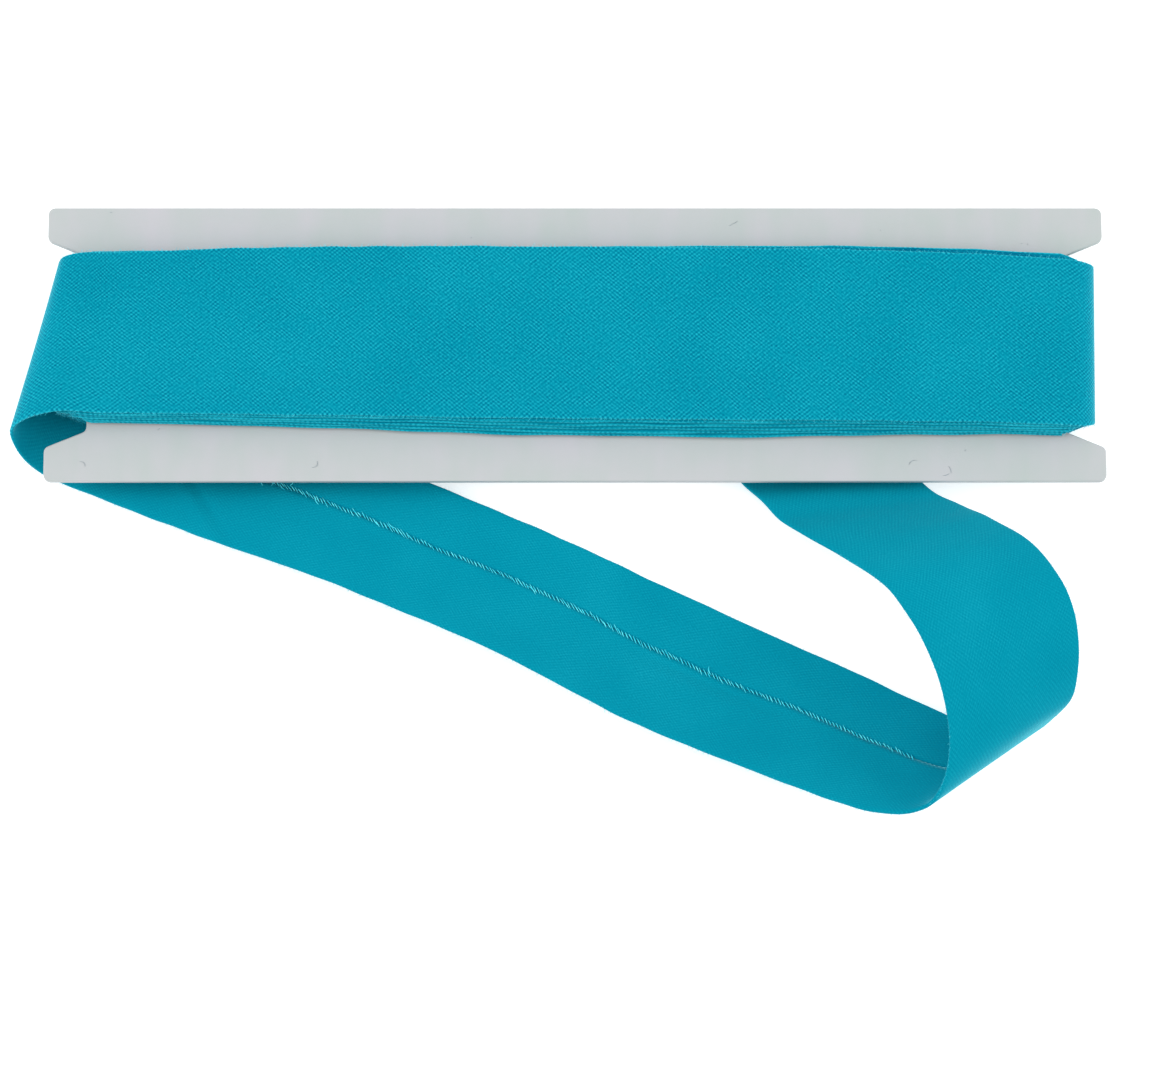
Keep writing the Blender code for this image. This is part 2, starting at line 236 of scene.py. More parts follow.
# Hairs and specks of lint on the card's face, drawn thicker than real so that they show: place,
# heading in radians, length and curl
Hair = namedtuple("Hair", "x y heading length curl")
LINT_RADIUS = 0.032
LINT_LIFT = 0.03
LINT = (
    Hair(19.1, 14.8, 0.5, 0.9, 0.05),
    Hair(18.6, 14.5, 0.4, 0.3, 0.0),
    Hair(36.5, 13.9, 1.0, 0.15, 0.0),
    Hair(54.1, 12.2, 1.5, 0.2, 0.0),
    Hair(53.4, 12.3, 0.2, 0.2, 0.0),
    Hair(39.9, -14.2, -2.6, 1.1, 0.25),
    Hair(44.0, -15.9, 0.3, 0.8, 0.08),
    Hair(44.5, -15.2, 1.9, 0.9, 0.10),
    Hair(46.3, -12.9, 0.8, 0.25, 0.0),
    Hair(-55.5, 16.1, 0.1, 0.3, 0.0),
    Hair(-12.4, 13.0, 1.2, 0.15, 0.0),
    Hair(-49.4, -10.4, 0.6, 0.35, 0.05),
    Hair(-30.6, -14.8, 0.9, 1.0, 0.3),
    Hair(-58.2, -14.4, 2.4, 0.9, 0.25),
)

# Down on the folds: its length, height at the foot, rise and radius, least and greatest, how much it
# leans and curls, how far apart the fibres stand, and where: start, end and share across the tape
DOWN_LENGTH = (0.12, 0.5)
DOWN_FOOT = (-0.1, 0.22)
DOWN_RISE = (0.0, 0.2)
DOWN_RADIUS = (0.010, 0.020)
DOWN_LEAN = 0.9
DOWN_CURL = 0.7
DOWN_OUTWARD = 0.8
END_SPACING = 0.22
FOLD_SPACING = 0.28
FUZZ_PLACES = (
    (2.0, 150.0, 0.0),
    (2.0, 150.0, 1.0),
    (150.0, 300.0, 0.0),
    (150.0, 300.0, 1.0),
)

# The cloth's finish and painted light, in millimetres: thread spacing as counted across the band,
# how far threads wander and over what length, patches of fuller threads, slubs, broad clouds in the
# dye, folds rubbed lighter with a painted highlight, the painted shade inside them, streaks, painted
# shade at the frayed raw edges, and where along the tape it starts to hang slack. The threads' angle
# to the tape is in degrees.
WARP_PITCH = 0.393
WEFT_PITCH = 0.342
THREAD_LEAN = 39.0
THREAD_WANDER = 0.28
THREAD_WANDER_LENGTH = 2.2
WEAVE_TONE = 0.2
FULL_PATCH = 1.4
FULLNESS = (0.3, 1.1)
SLUB = 0.3
SLUB_SHARE = 0.75
CLOUD = 12.0
CLOUD_TONE = (0.46, 0.54)
FOLD_RUB_AND_HIGHLIGHT = 0.22
HOLLOW_RUB_AND_HIGHLIGHT = 0.2
SHADE_FROM = 0.12
SHADE_TO = 0.26
STREAK = (0.16, 5.0, 0.0)
RAW_EDGE_SHADE_BAND = (0.35, 0.1)
RAW_EDGE_PAINTED_SHADE = 0.12
THREAD_RELIEF = 0.05
SLACK_FROM = 142.0
SLACK_WEAVE = 0.3
SLACKENING = 8.0
COTTON_DARK = "#005E80"
COTTON = "#0189A0"
COTTON_LIGHT = "#1FB2C6"
COTTON_SHEEN = "#84E4EE"

# Loose yarn changes tone over this length. The card's clouds, the streaks of its flow along and
# across, and its grain, which is really finer and is drawn at this size so that it shows
YARN_TONE = 0.6
CARD_CLOUD = 9.1
CARD_FLOW = (3.85, 11.1, 11.1)
CARD_GRAIN = 0.286
CARD_RELIEF = 0.04

# Noise mostly lies between these, for soft patterns and for strong ones
SOFT_NOISE = (0.3, 0.7)
STRONG_NOISE = (0.35, 0.65)

# The studio: half the floor's width in metres, the strength of the white surroundings, and the
# floor's own glow
FLOOR_HALF = 4.0
SURROUNDINGS = 0.76
FLOOR_GLOW = 0.5

# The camera stands at the photo's height over the card, 10 degrees off straight down
CAMERA_TARGET = (0.0, -22.8, 5.1)
CAMERA_ELEVATION = 80.0
CAMERA_DISTANCE = 541.0
CAMERA_HALF_ANGLE = 7.16

rng = np.random.default_rng(7)


def linear(code):
    """A colour written as sRGB hex, such as #00A0B4, as linear red, green, blue and alpha."""
    shares = [int(code[place:place + 2], 16) / 255 for place in (1, 3, 5)]
    return [s / 12.92 if s <= 0.04045 else ((s + 0.055) / 1.055) ** 2.4 for s in shares] + [1.0]


def in_frame(points):
    """Points in millimetres from the card's middle, as metres in the frame."""
    return np.asarray(points) * MM + ORIGIN


def add(tree, kind, links=None, **settings):
    """Adds a node: settings are its own, links gives its inputs values, other nodes or their outputs."""
    made = tree.nodes.new("ShaderNode" + kind)
    for name, value in settings.items():
        setattr(made, name, value)
    for socket, value in (links or {}).items():
        if isinstance(value, bpy.types.Node):
            value = value.outputs[0]
        if isinstance(value, bpy.types.NodeSocket):
            tree.links.new(value, made.inputs[socket])
        else:
            made.inputs[socket].default_value = value
    return made


def new_material(name):
    """An empty material with its surface shader."""
    made = bpy.data.materials.new(name)
    made.use_nodes = True
    shader = made.node_tree.nodes["Principled BSDF"]
    return made, made.node_tree, shader


def wobble(along, amplitude, shortest, longest, waves=5):
    """A soft irregular wave along the tape: a few sines of seeded length and phase."""
    total = np.zeros(len(along))
    for length in np.geomspace(shortest, longest, waves):
        phase = rng.uniform(0, math.tau)
        stretch = rng.uniform(*UNEVEN)
        total += np.sin(math.tau * along / (length * stretch) + phase)
    return total * amplitude / math.sqrt(waves)


def smooth_rows(rows, step):
    """Rows of a table, filled in along a smooth curve at the given spacing."""
    rows = np.array(rows, float)
    low = np.linalg.norm(np.diff(rows[:, 0:3], axis=0), axis=1)
    up = np.linalg.norm(np.diff(rows[:, 3:6], axis=0), axis=1)
    knots = np.concatenate(([0.0], np.cumsum((low + up) / 2)))
    slopes = np.empty_like(rows)
    slopes[1:-1] = (rows[2:] - rows[:-2]) / (knots[2:] - knots[:-2])[:, None]
    slopes[0] = (rows[1] - rows[0]) / knots[1]
    slopes[-1] = (rows[-1] - rows[-2]) / (knots[-1] - knots[-2])
    filled = []
    for index in range(len(rows) - 1):
        span = knots[index + 1] - knots[index]
        steps = max(2, math.ceil(span / step))
        u = (np.arange(steps) / steps)[:, None]
        filled.append(
            (2 * u**3 - 3 * u**2 + 1) * rows[index]
            + (u**3 - 2 * u**2 + u) * span * slopes[index]
            + (3 * u**2 - 2 * u**3) * rows[index + 1]
            + (u**3 - u**2) * span * slopes[index + 1]
        )
    return np.vstack(filled + [rows[-1:]])


def creases(along, across):
    """Soft troughs and ridges pulled into the loose turn, in millimetres of height."""
    height = 0.0
    for crease in CREASES:
        line = crease.along + crease.slant * (across - crease.share)
        off_line = (along - line) / crease.width
        off_middle = (across - crease.share) / crease.reach
        height = height + crease.depth * np.exp(-off_line**2 - off_middle**2)
    return height


def distance_along(rows):
    """How far each row lies along the middle of the tape."""
    middle = (rows[:, 0:3] + rows[:, 3:6]) / 2
    return np.concatenate(([0.0], np.cumsum(np.linalg.norm(np.diff(middle, axis=0), axis=1))))


def folded_profile(columns):
    """The strip's path across the tape, from raw edge to raw edge: share across, height, flat place.

    The heights are off the middle between the two plies, positive on the right side. The flat place
    is measured across the strip as it was cut, in millimetres.
    """
    flap_columns, fold_columns, ply_columns = columns
    inset = FOLD_RADIUS / FOLDED_WIDTH
    gap = SEAM_GAP / 2 / FOLDED_WIDTH
    turn = np.linspace(-math.pi / 2, math.pi / 2, fold_columns + 2)[1:-1]
    across = np.concatenate((
        np.linspace(SEAM_SHARE - gap, inset, flap_columns),
        inset - inset * np.cos(turn),
        np.linspace(inset, 1 - inset, ply_columns),
        1 - inset + inset * np.cos(turn),
        np.linspace(1 - inset, SEAM_SHARE + gap, flap_columns),
    ))
    height = np.concatenate((
        np.full(flap_columns, -FOLD_RADIUS),
        FOLD_RADIUS * np.sin(turn),
        np.full(ply_columns, FOLD_RADIUS),
        -FOLD_RADIUS * np.sin(turn),
        np.full(flap_columns, -FOLD_RADIUS),
    ))
    steps = np.hypot(np.diff(across) * FOLDED_WIDTH, np.diff(height))
    flat = np.concatenate(([0.0], np.cumsum(steps)))
    return across, height, flat


def on_tape(rows, along, across, height):
    """Points of the tape at places along it, shares across it, and heights off its middle."""
    marks = distance_along(rows)

    def middle(along, across):
        low_x, low_y, low_z, up_x, up_y, up_z, sag = (np.interp(along, marks, part) for part in rows.T)
        return np.stack((
            low_x + (up_x - low_x) * across,
            low_y + (up_y - low_y) * across,
            low_z + (up_z - low_z) * across + 4 * sag * across * (1 - across) + creases(along, across),
        ), axis=-1)

    points = middle(along, across)
    near = NEARBY / FOLDED_WIDTH
    across_line = middle(along, across + near) - middle(along, across - near)
    along_line = middle(along + NEARBY, across) - middle(along - NEARBY, across)
    normal = np.cross(across_line, along_line)
    normal /= np.linalg.norm(normal, axis=-1, keepdims=True)
    points[..., 2] = np.maximum(points[..., 2], ON_TABLE)
    return points + normal * np.asarray(height)[..., None]


def grid_mesh(name, points, along, flat):
    """A mesh of one grid of points, with a map of the flat cloth in metres, along and across."""
    rows, columns = points.shape[:2]
    faces = []
    for row in range(rows - 1):
        for column in range(columns - 1):
            corner = row * columns + column
            faces.append((corner, corner + columns, corner + columns + 1, corner + 1))
    mesh = bpy.data.meshes.new(name)
    mesh.from_pydata(in_frame(points.reshape(-1, 3)).tolist(), [], faces)
    places = np.stack(np.meshgrid(along, flat, indexing="ij"), axis=-1).reshape(-1, 2) * MM
    loops = np.empty(len(mesh.loops), int)
    mesh.loops.foreach_get("vertex_index", loops)
    cloth = mesh.uv_layers.new(name="cloth")
    cloth.data.foreach_set("uv", places[loops].ravel())
    mesh.shade_smooth()
    return mesh


def seam_place(along):
    """The seam's share across the tape: it wanders, for the two raw edges were pressed in by hand."""
    place = SEAM_SHARE + np.interp(along, SEAM_DRIFT_PLACES, SEAM_DRIFT)
    for height, length, start in SEAM_WAVES:
        place = place + height * np.sin(along / length + start)
    return place


def fold_tape(name, rows, columns, material):
    """The folded tape along its rows, as one strip of cloth with the thickness of a ply."""
    across, height, flat = folded_profile(columns)
    along = distance_along(rows)
    flaps = columns[0]
    near_seam = np.zeros(len(across))
    near_seam[:flaps] = np.linspace(1.0, 0.0, flaps)
    near_seam[-flaps:] = np.linspace(0.0, 1.0, flaps)
    shift = (seam_place(along) - SEAM_SHARE)[:, None] * near_seam[None, :]
    points = on_tape(rows, along[:, None], across[None, :] + shift, height[None, :])
    mesh = grid_mesh(name, points, along, flat)
    tape = bpy.data.objects.new(name, mesh)
    bpy.context.scene.collection.objects.link(tape)
    mesh.materials.append(material)
    ply = tape.modifiers.new("ply", "SOLIDIFY")
    ply.thickness = PLY * MM
    ply.offset = 0.0
    return tape


def strands(name, paths, radii, material):
    """One mesh of many fine strands, each a small closed tube that thins towards its ends."""
    count, steps = paths.shape[:2]
    paths[..., 2] = np.maximum(paths[..., 2], STRAND_REST)
    paths = paths + ORIGIN / MM
    heading = np.gradient(paths, axis=1)
    heading /= np.linalg.norm(heading, axis=2, keepdims=True)
    side = np.cross(heading, OFF_STRAND)
    side /= np.linalg.norm(side, axis=2, keepdims=True)
    lift = np.cross(side, heading)
    taper = STRAND_TIP + (1 - STRAND_TIP) * np.sin(np.linspace(0.0, math.pi, steps))
    girth = (radii[:, None] * taper)[:, :, None]
    turns = np.arange(STRAND_SIDES) * math.tau / STRAND_SIDES
    rings = [paths + girth * (side * math.cos(turn) + lift * math.sin(turn)) for turn in turns]
    points = np.stack(rings, axis=2).reshape(-1, 3)
    faces = []
    for first in range(0, count * steps * STRAND_SIDES, steps * STRAND_SIDES):
        faces.append(tuple(range(first + STRAND_SIDES - 1, first - 1, -1)))
        for ring in range(first, first + (steps - 1) * STRAND_SIDES, STRAND_SIDES):
            for corner in range(STRAND_SIDES):
                following = (corner + 1) % STRAND_SIDES
                faces.append((
                    ring + corner, ring + following,
                    ring + following + STRAND_SIDES, ring + corner + STRAND_SIDES,
                ))
        last = first + (steps - 1) * STRAND_SIDES
        faces.append(tuple(range(last, last + STRAND_SIDES)))
    mesh = bpy.data.meshes.new(name)
    mesh.from_pydata((points * MM).tolist(), [], faces)
    mesh.shade_smooth()
    mesh.materials.append(material)
    made = bpy.data.objects.new(name, mesh)
    bpy.context.scene.collection.objects.link(made)
    return made


def seam_threads(rows, material):
    """Thread ends of the two raw edges, lying across the seam of the wrong side, cut on the bias."""
    along = []
    place = SEAM_FROM
    while place < SEAM_TO:
        along.append(place)
        place += rng.uniform(*SEAM_SPACING)
    along = np.array(along)
    count = len(along)
    length = rng.uniform(*THREAD_LENGTH, count) + LONGER_BY * (rng.random(count) < LONGER_SHARE)
    lean = np.radians(rng.uniform(*THREAD_SLANT, count))
    shift = rng.normal(0.0, THREAD_OFF_LINE, count)
    steps = np.linspace(-0.5, 0.5, STRAND_STEPS)
    run = along[:, None] + steps * (length * np.cos(lean))[:, None]
    off_seam = shift[:, None] - steps * (length * np.sin(lean))[:, None]
    cross = seam_place(run) + off_seam / FOLDED_WIDTH
    lift = THREAD_LIFT[0] + THREAD_LIFT[1] * rng.random(count)[:, None] * (1 - 4 * steps**2)
    paths = [on_tape(rows, run, cross, -FOLDED / 2 - lift)]
    radii = [rng.uniform(*THREAD_RADIUS, count)]
    for fray in FRAYS:
        bend = fray.curl * (2 * steps) ** 2
        run = fray.along + steps * fray.length * np.cos(fray.lean) + bend * np.sin(fray.lean)
        off_seam = fray.off - steps * fray.length * np.sin(fray.lean) + bend * np.cos(fray.lean)
        cross = seam_place(run) + off_seam / FOLDED_WIDTH
        lift = FRAY_LIFT[0] + FRAY_LIFT[1] * (0.25 - steps**2)
        paths.append(on_tape(rows, run, cross, -FOLDED / 2 - lift)[None])
        radii.append([FRAY_RADIUS])
    return strands("seam_thread_ends", np.concatenate(paths), np.concatenate(radii), material)


def down(name, rows, places, spacing, material):
    """Short loose fibres standing off the folds of the tape, drawn thicker than real so they show."""
    paths = []
    for start, end, share in places:
        along = np.arange(start, end, spacing)
        count = len(along)
        along = along + rng.uniform(0, spacing, count)
        outward = -1.0 if share < 0.5 else 1.0
        length = rng.uniform(*DOWN_LENGTH, count)[:, None]
        lean = rng.normal(0.0, DOWN_LEAN, count)[:, None]
        curl = rng.normal(0.0, DOWN_CURL, count)[:, None]
        steps = np.linspace(0.0, 1.0, STRAND_STEPS)
        run = along[:, None] + length * np.sin(lean + curl * steps) * steps
        cross = share + outward * length * np.cos(lean * DOWN_OUTWARD) * steps / FOLDED_WIDTH
        foot = rng.uniform(*DOWN_FOOT, count)[:, None]
        lift = foot + rng.uniform(*DOWN_RISE, count)[:, None] * steps
        paths.append(on_tape(rows, run, cross, lift))
    paths = np.concatenate(paths)
    return strands(name, paths, rng.uniform(*DOWN_RADIUS, len(paths)), material)


def card_lint(material):
    """Short hairs and specks of lint that cling to the card's face."""
    steps = np.linspace(-0.5, 0.5, STRAND_STEPS)
    paths = []
    for hair in LINT:
        bend = hair.curl * (2 * steps) ** 2
        x = hair.x + steps * hair.length * math.cos(hair.heading) - bend * math.sin(hair.heading)
        y = hair.y + steps * hair.length * math.sin(hair.heading) + bend * math.cos(hair.heading)
        paths.append(np.stack((x, y, np.full(STRAND_STEPS, CARD_TOP + LINT_LIFT)), axis=-1))
    return strands("card_lint", np.array(paths), np.full(len(LINT), LINT_RADIUS), material)


def yarn_material(name, dark, light):
    """Loose cotton fibres: the same dye, painted paler all over as a painted highlight, for they
    stand in the light; each its own tone.
    """
    material, tree, shader = new_material(name)
    place = add(tree, "TexCoord").outputs["Object"]
    tones = add(tree, "TexNoise", {"Vector": place, "Scale": 1 / (YARN_TONE * MM), "Detail": 1.0})
    tone = add(tree, "MapRange", {
        "Value": tones, "From Min": STRONG_NOISE[0], "From Max": STRONG_NOISE[1],
    })
    colours = add(tree, "ValToRGB", {0: tone})
    colours.color_ramp.elements[0].color = linear(dark)
    colours.color_ramp.elements[1].color = linear(light)
    tree.links.new(colours.outputs[0], shader.inputs["Base Color"])
    shader.inputs["Roughness"].default_value = 0.8
    shader.inputs["IOR"].default_value = 1.45
    shader.inputs["Specular IOR Level"].default_value = 0.2
    return material


def edge_offsets(turn, x):
    """How far a turn's lower and upper edge lie outside the outermost turn's, at x."""
    edges = TURN_EDGES[turn]
    low = np.interp(x, EDGE_PLACES, LOWEST_STEP) * edges.low_share
    up = np.interp(x, EDGE_PLACES, HIGHEST_STEP) * edges.up_share + edges.up_step
    return low, up


def face_edges(x):
    """The outermost turn's lower and upper edge on the face of the roll, at x."""
    places = [section.low_x for section in reversed(FACE)]
    low = np.interp(x, places, [section.low_y for section in reversed(FACE)])
    up = np.interp(x, places, [section.up_y for section in reversed(FACE)])
    return low, up


def turn_row(x_low, x_up, z, turn):
    """One row of a wound turn, its edges stepped back from the outermost turn's."""
    low, up = face_edges((x_low + x_up) / 2)
    low_step, up_step = edge_offsets(turn, (x_low + x_up) / 2)
    return (x_low, low - low_step, z, x_up, up + up_step, z, 0.0)


def end_rows(centre, reach_low, reach_up, z_from, z_to, turns, draw, tuck):
    """Rows round one end of the card, from one face to the other, their edges drawn in there.

    The tuck draws the lower edge in further towards the back, where the end of the card pinches it.
    """
    middle = (z_from + z_to) / 2
    half = (z_to - z_from) / 2
    rows = []
    for step in range(1, END_STEPS):
        share = step / END_STEPS
        angle = math.pi * (share - 0.5)
        x_low = centre + (reach_low - centre) * math.cos(angle)
        x_up = centre + (reach_up - centre) * math.cos(angle)
        z = middle + half * math.sin(angle)
        first = np.array(turn_row(x_low, x_up, z, turns[0]))
        last = np.array(turn_row(x_low, x_up, z, turns[1]))
        row = first + (last - first) * share
        depth = (max(z_from, z_to) - z) / abs(z_to - z_from)
        row[1] += (draw[0] + tuck * depth) * math.cos(angle)
        row[4] -= draw[1] * math.cos(angle)
        rows.append(row)
    return rows


def wound_rows():
    """Rows of the five wound turns, from the start of the tape on the card's face to its back."""
    rows = []
    for turn in range(TURNS):
        share = turn / (TURNS - 1)
        on_face = CARD_TOP + FIRST_LAYER + FACE_PITCH * turn
        on_back = CARD_BOTTOM - FIRST_LAYER - BACK_PITCH * turn
        places = np.arange(TURNS_RIGHT, TURNS_LEFT, -WOUND_STEP)
        rows += [turn_row(x, x, on_face, turn) for x in places]
        reach_low = LEFT_REACH_LOW[0] + (LEFT_REACH_LOW[1] - LEFT_REACH_LOW[0]) * share
        reach_up = LEFT_REACH_UP[0] + (LEFT_REACH_UP[1] - LEFT_REACH_UP[0]) * share
        rows += end_rows(
            TURNS_LEFT, reach_low, reach_up, on_face, on_back, (turn, turn), LEFT_DRAW, LEFT_TUCK
        )
        rows += [turn_row(x, x, on_back, turn) for x in places[::-1]]
        if turn < TURNS - 1:
            reach = RIGHT_REACH[0] + (RIGHT_REACH[1] - RIGHT_REACH[0]) * share
            next_face = on_face + FACE_PITCH
            turns = (turn, turn + 1)
            rows += end_rows(
                TURNS_RIGHT, reach, reach, on_back, next_face, turns, RIGHT_DRAW, RIGHT_TUCK
            )
    rows = np.array(rows)
    along = distance_along(rows)
    rows[:, 1] += wobble(along, *WOUND_LOW_WANDER)
    rows[:, 4] += wobble(along, *WOUND_UP_WANDER)
    return rows


def loose_rows():
    """Rows of the loose turn, from the back of the roll to its hidden end."""
    reach = RIGHT_REACH[1]
    last = TURNS - 1
    table = [turn_row(TURNS_RIGHT, TURNS_RIGHT, UNDER_ROLL, last)]
    turns = (last, TURNS)
    table += end_rows(
        TURNS_RIGHT, reach, reach + RIGHT_FLARE, UNDER_ROLL, ON_ROLL, turns, LOOSE_DRAW, RIGHT_TUCK
    )
    table += [section[1:] for section in FACE]
    for section in LOOSE:
        row = list(section[1:])
        row[2] -= SETTLE
        row[5] -= SETTLE
        table.append(row)
    rows = smooth_rows(table, LOOSE_STEP)
    along = distance_along(rows)
    rows[:, 1] += wobble(along, *LOOSE_WANDER)
    rows[:, 4] += wobble(along, *LOOSE_WANDER)
    return rows


def fold_places():
    """Where the two folds lie on the flat strip, in millimetres from its first raw edge."""
    across, _, flat = folded_profile(LOOSE_COLUMNS)
    return flat[np.argmin(across)], flat[np.argmax(across)]


def binding_material(name, weave=1.0, rub_and_highlight=0.65, shades=(0.0, 0.0), streaked=0.0, slack_from=None):
    """Cotton poplin: plain-woven, dyed in the piece, cut on the bias, folded and pressed.

    Cut at 45 degrees and wound tight, it has stretched, so its threads lie closer to the tape's
    length. Each is a fine light ridge with dark pin holes beside it, so the band glitters in small
    dots, in patches where the threads are fuller. It is rubbed lighter along its folds, with a
    painted highlight there where they catch the light, and just inside them it has painted shade
    where the turn that lies over it shades it. Near its raw edges it has painted shade between the
    thread ends. On the wrong side, and past slack_from, in millimetres along the tape, it hangs
    slack and looks smooth. Cotton is matt, with a pale down that shows at a glance.
    """
    material, tree, shader = new_material(name)
    uv = add(tree, "UVMap", uv_map="cloth")
    cloth = add(tree, "VectorMath", {0: uv, "Scale": 1 / MM}, operation="SCALE")
    place = add(tree, "SeparateXYZ", {0: cloth}).outputs

    # The threads, as two sets of waves that wander, in patches where they are fuller
    wander = add(tree, "TexNoise", {"Vector": cloth, "Scale": 1 / THREAD_WANDER_LENGTH, "Detail": 2.0})
    threads = add(tree, "VectorMath", {
        0: wander.outputs["Color"], 1: (THREAD_WANDER,) * 3, 2: cloth,
    }, operation="MULTIPLY_ADD")
    patches = add(tree, "TexNoise", {"Vector": cloth, "Scale": 1 / FULL_PATCH, "Detail": 4.0})
    fuller = add(tree, "SeparateColor", {0: patches.outputs["Color"]}).outputs
    woven = 0.0
    for pitch, side, share in ((WARP_PITCH, 1.0, fuller[0]), (WEFT_PITCH, -1.0, fuller[1])):
        lean = math.radians(THREAD_LEAN)
        wave = (math.tau / pitch * math.sin(lean), side * math.tau / pitch * math.cos(lean), 0.0)
        phase = add(tree, "VectorMath", {0: threads, 1: wave}, operation="DOT_PRODUCT")
        ridge = add(tree, "Math", {0: phase.outputs["Value"]}, operation="COSINE")
        fullness = add(tree, "MapRange", {
            "Value": share, "From Min": STRONG_NOISE[0], "From Max": STRONG_NOISE[1],
            "To Min": FULLNESS[0], "To Max": FULLNESS[1],
        })
        woven = add(tree, "Math", {0: ridge, 1: fullness, 2: woven}, operation="MULTIPLY_ADD")
    specks = add(tree, "TexNoise", {"Vector": cloth, "Scale": 1 / SLUB, "Detail": 2.0})
    slubs = add(tree, "MapRange", {
        "Value": specks, "From Min": SOFT_NOISE[0], "From Max": SOFT_NOISE[1],
        "To Min": -SLUB_SHARE, "To Max": SLUB_SHARE,
    })
    woven = add(tree, "Math", {0: woven, 1: slubs}, operation="ADD")

    # How far a place lies inside the nearer fold, below zero on the wrong side
    low_fold, up_fold = fold_places()
    off_middle = add(tree, "Math", {0: place[1], 1: (low_fold + up_fold) / 2}, operation="SUBTRACT")
    off_middle = add(tree, "Math", {0: off_middle}, operation="ABSOLUTE")
    inside = add(tree, "Math", {0: (up_fold - low_fold) / 2, 1: off_middle}, operation="SUBTRACT")
    tight = add(tree, "Math", {0: inside, 1: 0.0}, operation="GREATER_THAN")
    if slack_from is not None:
        slackening = add(tree, "MapRange", {
            "Value": place[0], "From Min": slack_from, "From Max": slack_from + SLACKENING,
            "To Min": 1.0, "To Max": 0.0,
        })
        tight = add(tree, "Math", {0: tight, 1: slackening}, operation="MULTIPLY")
    tightness = add(tree, "Math", {
        0: tight, 1: weave - SLACK_WEAVE, 2: SLACK_WEAVE,
    }, operation="MULTIPLY_ADD")
    texture = add(tree, "Math", {0: woven, 1: tightness}, operation="MULTIPLY")

    # Folds rubbed lighter with a painted highlight, the painted shade inside them, streaks along them,
    # and painted shade at the frayed raw edges
    off_fold = add(tree, "Math", {0: inside}, operation="ABSOLUTE")
    # Painted highlight along the folds, where they catch the light, on top of their being rubbed
    # lighter; stronger on the weave's ridges, and only where the cloth is tight
    rubbed_and_highlit = add(tree, "MapRange", {"Value": off_fold, "From Min": FOLD_RUB_AND_HIGHLIGHT, "From Max": 0.0})
    rub_and_highlight_by_weave = add(tree, "MapRange", {
        "Value": woven, "From Min": -1.0, "From Max": 1.0, "To Min": HOLLOW_RUB_AND_HIGHLIGHT * rub_and_highlight, "To Max": rub_and_highlight,
    })
    rubbed_and_highlit = add(tree, "Math", {0: rubbed_and_highlit, 1: tight}, operation="MULTIPLY")
    rubbed_and_highlit = add(tree, "Math", {0: rubbed_and_highlit, 1: rub_and_highlight_by_weave}, operation="MULTIPLY")
    # Painted shade just inside the folds, where the turn lying over them would shade them, stronger
    # towards the upper fold
    shade = add(tree, "MapRange", {
        "Value": place[1], "From Min": low_fold, "From Max": up_fold,
        "To Min": -shades[0], "To Max": -shades[1],
    })
    shaded = add(tree, "MapRange", {"Value": inside, "From Min": SHADE_FROM, "From Max": SHADE_TO})
    shaded = add(tree, "Math", {0: shaded, 1: shade}, operation="MULTIPLY")
    drawn = add(tree, "VectorMath", {0: cloth, 1: STREAK}, operation="MULTIPLY")
    lines = add(tree, "TexNoise", {"Vector": drawn, "Scale": 1.0, "Detail": 2.0})
    streaks = add(tree, "MapRange", {
        "Value": lines, "From Min": SOFT_NOISE[0], "From Max": SOFT_NOISE[1],
        "To Min": -streaked, "To Max": streaked,
    })
    # Painted shade along both raw edges, for the shadowed gaps between the thread ends at the seam
    off_centre = add(tree, "Math", {0: place[1], 1: CUT_WIDTH / 2}, operation="SUBTRACT")
    off_centre = add(tree, "Math", {0: off_centre}, operation="ABSOLUTE")
    raw_edge_shade = add(tree, "MapRange", {
        "Value": off_centre, "From Min": CUT_WIDTH / 2 - RAW_EDGE_SHADE_BAND[0],
        "From Max": CUT_WIDTH / 2 - RAW_EDGE_SHADE_BAND[1], "To Min": 0.0, "To Max": -RAW_EDGE_PAINTED_SHADE,
    })

    # The tone, from dark to light, in broad clouds
    clouds = add(tree, "TexNoise", {"Vector": cloth, "Scale": 1 / CLOUD, "Detail": 2.0})
    clouded = add(tree, "MapRange", {
        "Value": clouds, "From Min": SOFT_NOISE[0], "From Max": SOFT_NOISE[1],
        "To Min": CLOUD_TONE[0], "To Max": CLOUD_TONE[1],
    })
    tone = add(tree, "Math", {0: texture, 1: WEAVE_TONE, 2: clouded}, operation="MULTIPLY_ADD")
    for part in (rubbed_and_highlit, shaded, streaks, raw_edge_shade):
        tone = add(tree, "Math", {0: tone, 1: part}, operation="ADD")
    colours = add(tree, "ValToRGB", {0: tone})
    colours.color_ramp.elements[0].color = linear(COTTON_DARK)
    colours.color_ramp.elements[1].color = linear(COTTON_LIGHT)
    colours.color_ramp.elements.new(0.5).color = linear(COTTON)
    tree.links.new(colours.outputs[0], shader.inputs["Base Color"])
    bump = add(tree, "Bump", {"Strength": 0.35, "Distance": THREAD_RELIEF * MM, "Height": texture})
    tree.links.new(bump.outputs[0], shader.inputs["Normal"])
    shader.inputs["Roughness"].default_value = 0.9
    shader.inputs["IOR"].default_value = 1.45
    shader.inputs["Specular IOR Level"].default_value = 0.02
    shader.inputs["Sheen Weight"].default_value = 1.0
    shader.inputs["Sheen Roughness"].default_value = 0.3
    shader.inputs["Sheen Tint"].default_value = linear(COTTON_SHEEN)
    return material


